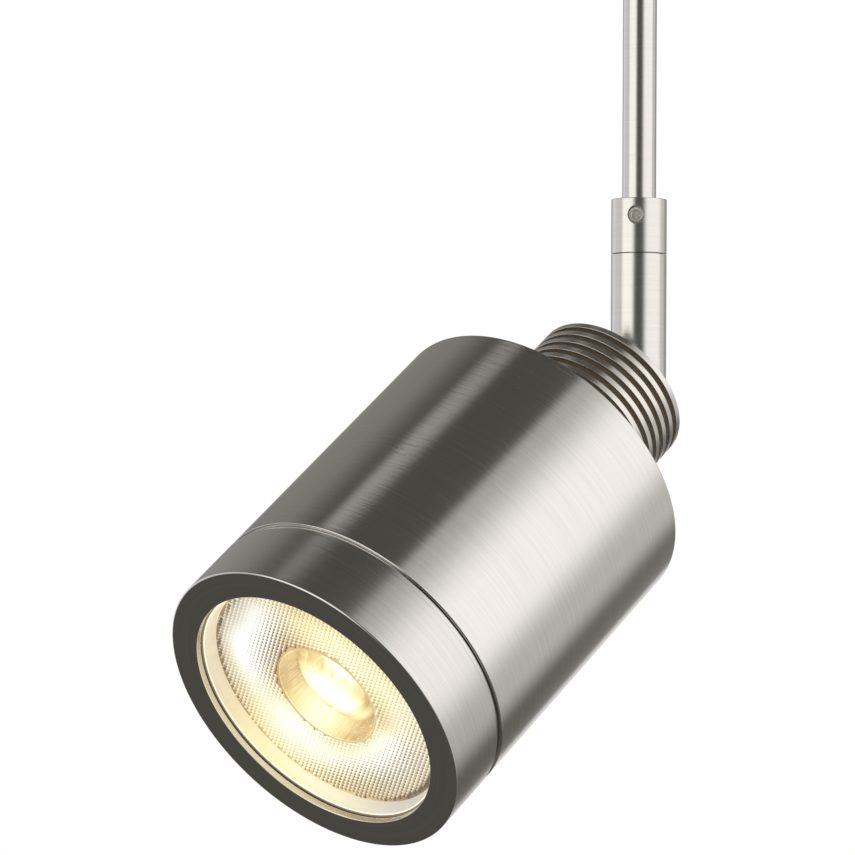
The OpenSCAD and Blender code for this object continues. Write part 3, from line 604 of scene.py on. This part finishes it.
def lens_pillows():
    """The floor's pattern: one six-sided pillow, repeated both ways, cut to the ring and closed below."""
    pitch, height, skirt = 0.89, 0.15, 0.18
    outer, inner = 23.15, 10.75
    deselect()
    bpy.ops.mesh.primitive_circle_add(vertices=6, radius=pitch / math.sqrt(3) * MM, fill_type="NGON")
    piece = bpy.context.object
    piece.name = piece.data.name = "lens_pillows"
    bpy.ops.object.mode_set(mode="EDIT")
    bpy.ops.mesh.select_all(action="SELECT")
    previous = 1.0
    for share, rise in ((0.74, 0.50), (0.42, 0.86)):
        bpy.ops.mesh.inset(thickness=1e-6)
        bpy.ops.transform.resize(value=(share / previous,) * 2 + (1,), center_override=(0, 0, 0))
        bpy.ops.transform.translate(value=(0, 0, (rise - (0 if previous == 1.0 else 0.50)) * height * MM))
        previous = share
    bpy.ops.mesh.poke(offset=0.14 * height * MM)
    bpy.ops.object.mode_set(mode="OBJECT")
    faces = len(piece.data.polygons)
    step_x = Vector((pitch * MM, 0, 0))
    step_y = Vector((pitch * MM / 2, pitch * MM * math.sqrt(3) / 2, 0))
    reach = 27
    for step in (step_x, step_y):
        count = int(2 * reach / pitch * (1.0 if step is step_y else 1.6)) // 2 * 2 + 1
        array = piece.modifiers.new("repeat", "ARRAY")
        array.count, array.use_relative_offset, array.use_constant_offset = count, False, True
        array.constant_offset_displace = step
        only(piece)
        bpy.ops.object.modifier_apply(modifier="repeat")
        bpy.ops.object.mode_set(mode="EDIT")
        bpy.ops.mesh.select_all(action="SELECT")
        bpy.ops.transform.translate(value=-step * (count // 2))
        bpy.ops.object.mode_set(mode="OBJECT")
    mesh = piece.data
    spare = []
    for start in range(0, len(mesh.polygons), faces):
        group = range(start, start + faces)
        middle = sum((mesh.polygons[i].center for i in group), Vector()) / faces
        if not inner < math.hypot(middle.x, middle.y) / MM < outer:
            spare += group
    pick_faces(piece, spare)
    bpy.ops.mesh.delete(type="FACE")
    bpy.ops.mesh.select_all(action="SELECT")
    bpy.ops.mesh.remove_doubles(threshold=2e-6)
    bpy.ops.mesh.normals_make_consistent(inside=False)
    bpy.ops.object.mode_set(mode="OBJECT")
    if sum(p.normal.z for p in mesh.polygons) < 0:
        edit_all(piece)
        bpy.ops.mesh.flip_normals()
        leave_edit()
    # a skirt down from the open edges and a flat sheet to close it
    only(piece)
    bpy.ops.object.mode_set(mode="EDIT")
    bpy.ops.mesh.select_all(action="DESELECT")
    bpy.ops.mesh.select_mode(type="EDGE")
    bpy.ops.mesh.select_non_manifold()
    bpy.ops.mesh.extrude_edges_move(TRANSFORM_OT_translate={"value": (0, 0, -skirt * MM)})
    bpy.ops.mesh.fill()
    bpy.ops.mesh.select_all(action="SELECT")
    bpy.ops.mesh.normals_make_consistent(inside=False)
    bpy.ops.mesh.select_mode(type="VERT")
    bpy.ops.object.mode_set(mode="OBJECT")
    smooth(piece, 60)
    only(piece)
    # the pillows face down the head, with their rows a little across it
    piece.rotation_euler = (math.pi, 0, math.radians(14))
    piece.location = (0, 0, -(LENS_FLOOR - height) * MM)
    bpy.ops.object.transform_apply(location=True, rotation=True, scale=True)
    swing_to_aim(piece)
    return piece


def collimator_lens():
    """The clear body: cone, flange, rim, ledge and central recess. The pillows are joined to it."""
    foot, neck, seat = 7.9, 22.6, 100.0
    cone = [(foot + (neck - foot) * (t / 10) ** 0.8, LENS_REAR + (seat - LENS_REAR) * t / 10)
            for t in range(11)]
    outline = ([(1.0, LENS_REAR + 5), (6.5, LENS_REAR + 4.4), (6.9, LENS_REAR)] + cone
               + [(FLANGE_R, seat), (FLANGE_R, LENS_FRONT),
                  (24.62, LENS_FRONT), (24.6, 104.05), (24.42, 104.05),
                  (24.4, LENS_FRONT), (LENS_RIM_R, LENS_FRONT), (24.2, 104.05), (LENS_FLOOR_R, 101.3),
                  (10.5, 101.3), (10.42, 101.55), (10.32, 101.62), (10.2, 101.62),
                  (RECESS_R, 101.5), (9.95, 101.2),
                  (9.3, 97.4), (9.0, 97.1),
                  (7.6, 97.1), (7.3, 97.4), (5.6, 97.6), (5.4, 97.3), (3.4, 97.7), (1.0, 97.9)])
    piece = turn("collimator_lens", [(r, -s) for r, s in outline], sides=192, closed=False)
    cap_ends(piece)
    smooth(piece, 35)
    names = [("lens_wall", wall_level), ("lens_ledge", ledge_level), ("recess_wall", recess_wall_level),
             ("recess_floor", recess_floor_level), ("lens_pillows", pillow_level),
             ("lens_flange", flange_level)]
    made = [acrylic(n, f) for n, f in names]
    for m in made:
        piece.data.materials.append(m)
    for p in piece.data.polygons:
        r, s = math.hypot(p.center.x, p.center.y) / MM, -p.center.z / MM
        if s > 104 and r > 24.43:
            p.material_index = 5
        elif s < 96 or r > LENS_FLOOR_R - 0.05:
            p.material_index = 0
        elif r > RECESS_R + 0.01:
            p.material_index = 1
        elif r > 8.75:
            p.material_index = 2
        else:
            p.material_index = 3
    swing_to_aim(piece)
    pillows = lens_pillows()
    for m in made:
        pillows.data.materials.append(m)
    for p in pillows.data.polygons:
        p.material_index = 4
    only(piece)
    pillows.select_set(True)
    bpy.ops.object.join()
    return piece


# ---- Turned shells ----

def finned_neck():
    outline = [(NECK_BORE_R, NECK_REAR + LUG_POCKET), (LUG_POCKET_R, NECK_REAR + LUG_POCKET),
               (LUG_POCKET_R, NECK_REAR), (NECK_R, NECK_REAR), (NECK_R, NECK_REAR + REAR_DISC)]
    for i in range(1, FIN_COUNT + 1):
        front = NECK_REAR + REAR_DISC + i * FIN_PITCH
        outline += [(CORE_R, front - FIN_PITCH), (CORE_R, front - FIN_T),
                    (NECK_R, front - FIN_T), (NECK_R, front)]
    outline += [(CORE_R, NECK_REAR + REAR_DISC + FIN_COUNT * FIN_PITCH),
                (CORE_R, TUBE_REAR), (NECK_BORE_R, TUBE_REAR)]
    return head_turned("finned_neck_turned", outline, radius=0.12, sides=192)


def head_tube():
    return head_turned("head_tube", [
        (NECK_BORE_R, TUBE_REAR), (BODY_R, TUBE_REAR), (BODY_R, TUBE_FRONT), (BODY_BORE_R, TUBE_FRONT),
        (BODY_BORE_R, TUBE_REAR + REAR_WALL), (NECK_BORE_R, TUBE_REAR + REAR_WALL)], radius=0.22)


def front_bezel():
    return head_turned("front_bezel", [
        (BEZEL_BORE_R, LIP_REAR), (OPENING_R, LIP_REAR), (OPENING_R, BEZEL_FRONT),
        (BODY_R - BEZEL_CHAMFER, BEZEL_FRONT), (BODY_R, BEZEL_FRONT - BEZEL_CHAMFER), (BODY_R, BEZEL_REAR),
        (SEAM_R, BEZEL_REAR), (SEAM_R, TUBE_FRONT + FIT), (THREAD_R, TUBE_FRONT + FIT),
        (THREAD_R, TUBE_FRONT - THREAD_LEN), (BEZEL_BORE_R, TUBE_FRONT - THREAD_LEN)], radius=0.2)


def swing_to_screw(piece):
    """Moves a piece drawn up the Z axis to the set screw's place in the coupling."""
    only(piece)
    bpy.ops.object.transform_apply(location=True, rotation=True, scale=True)
    piece.rotation_euler = (math.pi / 2, 0, SCREW_TURN)
    piece.location = (0, 0, SCREW_Z * MM)
    bpy.ops.object.transform_apply(location=True, rotation=True, scale=True)


def cut(piece, tool):
    """Cuts one piece out of another."""
    hollow = piece.modifiers.new("cut", "BOOLEAN")
    hollow.operation, hollow.object, hollow.solver = "DIFFERENCE", tool, "EXACT"
    only(piece)
    bpy.ops.object.modifier_apply(modifier="cut")
    bpy.data.objects.remove(tool)
    face_outwards(piece)


def hex_set_screw():
    """Chamfered all round, with a hexagon socket that has its own chamfer."""
    top, foot = SLEEVE_R - SCREW_SINK, STEM_R + 0.02
    piece = turn("hex_set_screw", [
        (0.3, foot), (1.2, foot), (SCREW_R - 0.02, foot + 0.35), (SCREW_R - 0.02, top - 0.28),
        (SCREW_R - 0.3, top), (0.95, top), (0.3, top)], sides=64, closed=False)
    cap_ends(piece)
    deselect()
    bpy.ops.mesh.primitive_cylinder_add(
        vertices=6, radius=0.98 * MM, depth=3 * MM, location=(0, 0, (foot + 2.2) * MM))
    cut(piece, bpy.context.object)
    deselect()
    bpy.ops.mesh.primitive_cone_add(vertices=32, radius1=0.55 * MM, radius2=1.25 * MM, depth=0.7 * MM,
                                    location=(0, 0, (top - 0.1) * MM))
    cut(piece, bpy.context.object)
    smooth(piece, 25)
    swing_to_screw(piece)
    return piece


def drilled_coupling():
    """The sleeve round the stem's end, with the stop pin's track and the set screw's hole, edge broken."""
    piece = turn("drilled_coupling", rounded([
        (STEM_R + FIT, STEM_SEAT_Z), (STUD_R + FIT, STEM_SEAT_Z), (STUD_R + FIT, SEAM_Z),
        (TRACK_R - STOP_PIN_HALF, SEAM_Z), (TRACK_R - STOP_PIN_HALF, SEAM_Z + TRACK_DEPTH),
        (TRACK_R + STOP_PIN_HALF, SEAM_Z + TRACK_DEPTH), (TRACK_R + STOP_PIN_HALF, SEAM_Z),
        (SLEEVE_R, SEAM_Z), (SLEEVE_R, COUPLING_TOP), (STEM_R + FIT, COUPLING_TOP)], 0.14), sides=256)
    deselect()
    bpy.ops.mesh.primitive_cylinder_add(
        vertices=64, radius=SCREW_R * MM, depth=6 * MM, location=(0, 0, 5 * MM))
    tool = bpy.context.object
    swing_to_screw(tool)
    cut(piece, tool)
    deselect()
    bpy.ops.mesh.primitive_cone_add(vertices=64, radius1=(SCREW_R - 0.35) * MM, radius2=(SCREW_R + 0.75) * MM,
                                    depth=1.1 * MM, location=(0, 0, (SLEEVE_R + 0.02) * MM))
    tool = bpy.context.object
    swing_to_screw(tool)
    cut(piece, tool)
    smooth(piece, 25)
    return piece


def neck_finish():
    """Nickel on the fins, with a warm brown painted shade between them and a faint painted glow for the light
    that gathers there.
    """
    made, g = material("finned_nickel")
    x, y, z = head_axes(g)
    radius = (x * x + y * y).of("SQRT") * 1000.0
    fine = g.noise(g.xyz(x * 90, y * 90, z * 6000.0), detail=2)
    slow = g.noise(g.xyz(x * 500, y * 500, z * 500), detail=3)
    # Painted shade down between the fins: a warm brown tone, less metallic and rougher, with a faint painted
    # glow.
    gap_shade = g.step(radius + (slow - 0.5) * 0.8, NECK_R - 1.6, NECK_R - 0.15, 1.0, 0.0) * g.step(
        z * -1000.0, NECK_REAR + REAR_DISC - 0.02, NECK_REAR + REAR_DISC + 0.02)
    metal = g.mix(fine, rgb(0.68, 0.665, 0.64), rgb(0.78, 0.765, 0.74))
    gap_shade_tone = g.mix(slow, rgb(0.46, 0.38, 0.28), rgb(0.62, 0.53, 0.40))
    finish(g, Base_Color=g.mix(gap_shade, metal, gap_shade_tone), Metallic=1.0 - gap_shade * 0.5,
           Roughness=0.20 + gap_shade * 0.25 + (fine - 0.5) * 0.06, Normal=g.bump(fine + slow * 0.5, 1.4e-5),
           Emission_Color=g.mix(gap_shade, rgb(0, 0, 0), rgb(0.016, 0.013, 0.008)), Emission_Strength=0.8)
    return made


def bezel_finish():
    """Brushed like the tube, with a painted highlight: its outer wall lighter and softer on its left than on
    its right.
    """
    made, g = material("brushed_nickel_bezel")
    x, y, z = head_axes(g)
    radius = (x * x + y * y).of("SQRT")
    run = z + radius
    fine = g.noise(g.xyz(x * 60, y * 60, run * 6500), detail=2)
    coarse = g.noise(g.xyz(x * 30, y * 30, run * 1400), detail=3)
    lines = fine * 0.6 + coarse * 0.4
    # Painted highlight: the outer wall turns near white, and rougher, towards its left.
    left = g.step(x * -1000.0 + y * -300.0, -6.0, 26.0)
    metal = g.mix(g.step(lines, 0.3, 0.7), rgb(0.67, 0.655, 0.63), rgb(0.74, 0.725, 0.70))
    side = g.step(radius * 1000.0, BODY_R - 0.12, BODY_R - 0.02)
    base = g.mix(left * side, metal, rgb(1.0, 0.985, 0.955))
    finish(g, Base_Color=base, Metallic=1.0, Roughness=0.21 + left * side * 0.16 + (lines - 0.5) * 0.06,
           Normal=g.bump(fine * 0.5 + coarse, 9e-6))
    return made


def put(piece, body, slot, finish_material, *nodes):
    """Rides a new piece on its body, in place of its CAD nodes."""
    if finish_material is not None:
        piece.data.materials.clear()
        piece.data.materials.append(finish_material)
    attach(piece, body)
    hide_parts(*nodes)


# ---- Finishes of the nodes that stay ----

def circuit_board(name):
    """Green solder mask with faint copper tracks under it and tinned pads."""
    made, g = material(name)
    x, y, z = head_axes(g)
    tracks = g.term("ShaderNodeTexBrick", {"offset": 0.5},
                    {"Vector": g.xyz(x, y, z), "Scale": 260.0, "Mortar Size": 0.05, "Mortar Smooth": 0.3},
                    output=1)
    spots = g.term("ShaderNodeTexVoronoi", {"feature": "F1"}, {"Vector": g.xyz(x, y, z), "Scale": 300.0})
    pads = g.step(spots, 0.12, 0.17, 1.0, 0.0)
    mask = g.mix(tracks, rgb(0.03, 0.16, 0.07), rgb(0.07, 0.27, 0.12))
    base = g.mix(pads, mask, rgb(0.62, 0.60, 0.55))
    finish(g, Base_Color=base, Metallic=pads * 0.8, Roughness=0.38 - pads * 0.1,
           Normal=g.bump(tracks * 0.5 + pads, 3e-5))
    return made


def winding(name):
    """Enamelled wire laid side by side round the coil."""
    made, g = material(name)
    x, y, z = head_axes(g)
    turns = (z * 11000.0).of("SINE") * 0.5 + 0.5
    base = g.mix(turns, rgb(0.20, 0.07, 0.02), rgb(0.62, 0.27, 0.10))
    finish(g, Base_Color=base, Metallic=0.6, Roughness=0.3 + turns * 0.08, Normal=g.bump(turns, 1.2e-4))
    return made


def sleeve(name):
    """A shrunk sleeve with one pale stripe down its side."""
    made, g = material(name)
    x, y, z = head_axes(g)
    stripe = g.step(x * 1000.0, 12.2, 12.4)
    grain = g.noise(g.xyz(x, y, z), 700.0, 2)
    base = g.mix(stripe, rgb(0.03, 0.05, 0.20), rgb(0.55, 0.58, 0.66))
    finish(g, Base_Color=base, Roughness=0.28 + grain * 0.12, Normal=g.bump(grain, 5e-6))
    return made


def phosphor(name):
    """The light source: an even yellow disc, brightest in the middle."""
    made, g = material(name)
    x, y, z = head_axes(g)
    middle = g.step((x * x + y * y).of("SQRT") * 1000.0, 3.0, 5.6, 1.0, 0.0)
    grain = g.noise(g.xyz(x, y, z), 3000.0, 2)
    colour = g.mix(middle, rgb(0.95, 0.70, 0.30), rgb(1.0, 0.93, 0.72))
    finish(g, Base_Color=g.mix(grain, rgb(0.90, 0.66, 0.20), rgb(0.98, 0.80, 0.36)), Roughness=0.55,
           Emission_Color=colour, Emission_Strength=3.0)
    return made


def node_finishes():
    """One finish for each of the record's slots."""
    return {
        "nickel_on_aluminium": brushed("brushed_nickel_head", head_axes, NICKEL, 0.15),
        "nickel_on_steel": brushed(
            "brushed_nickel_stem", upright_axes, (0.75, 0.735, 0.71), 0.22, along=9000),
        "adapter_shell": plain(
            "adapter_shell", (0.66, 0.65, 0.62), 0.34, metallic=0.85, grain=1600, depth=4e-6),
        "black_plastic": plain("black_plastic", (0.035, 0.035, 0.038), 0.48, grain=2200, depth=1.2e-5),
        "white_plastic": plain("white_plastic", (0.82, 0.81, 0.77), 0.42, grain=1500),
        "bare_aluminium": plain(
            "bare_aluminium", (0.80, 0.80, 0.80), 0.33, metallic=1.0, grain=1300, depth=8e-6),
        "screw_steel": plain("screw_steel", (0.62, 0.61, 0.59), 0.26, metallic=1.0, grain=2600, depth=4e-6),
        "dark_steel": plain("dark_steel", (0.28, 0.28, 0.28), 0.32, metallic=1.0, grain=2400, depth=5e-6),
        "brass": plain("brass", (0.80, 0.62, 0.32), 0.24, metallic=1.0, grain=1800, depth=4e-6),
        "silicone": plain("silicone", (0.05, 0.05, 0.05), 0.62, grain=1400, depth=9e-6),
        "circuit_board": circuit_board("circuit_board"),
        "white_board": plain("white_board", (0.88, 0.88, 0.86), 0.30, grain=1200),
        "phosphor": phosphor("phosphor"),
        "lead_black": plain("lead_black", (0.03, 0.03, 0.03), 0.36, grain=1900),
        "lead_white": plain("lead_white", (0.86, 0.85, 0.82), 0.34, grain=1900),
        "lead_red": plain("lead_red", (0.55, 0.035, 0.03), 0.34, grain=1900),
        "capacitor_sleeve": sleeve("capacitor_sleeve"),
        "copper_winding": winding("copper_winding"),
        "terminal_green": plain("terminal_green", (0.06, 0.34, 0.14), 0.38, grain=1600),
    }


studio_camera()
studio_light()
pale_floor()

finishes = node_finishes()
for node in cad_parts.values():
    for place in node.material_slots:
        slot = place.material.name.split(".")[0]
        if slot in finishes:
            place.material = finishes[slot]

put(head_tube(), "head", "nickel_on_aluminium", finishes["nickel_on_aluminium"], "housing_tube")
put(finned_neck(), "head", "nickel_on_aluminium", neck_finish(), "finned_neck")
put(drilled_coupling(), "adapter", "nickel_on_steel", finishes["nickel_on_steel"], "coupling_sleeve")
# The set screw is painted light: a pale warm metal, lighter than screw steel, standing in for the highlights
# it catches.
put(hex_set_screw(), "adapter", "screw_steel",
    plain("set_screw_painted_light", (0.97, 0.91, 0.78), 0.28, metallic=0.62, grain=2400, depth=4e-6, patch=1400,
          shift=0.25), "set_screw")
put(front_bezel(), "bezel", "nickel_on_aluminium", bezel_finish(), "bezel_ring")
put(collimator_lens(), "head", "clear_lens", None, "optic_lens")
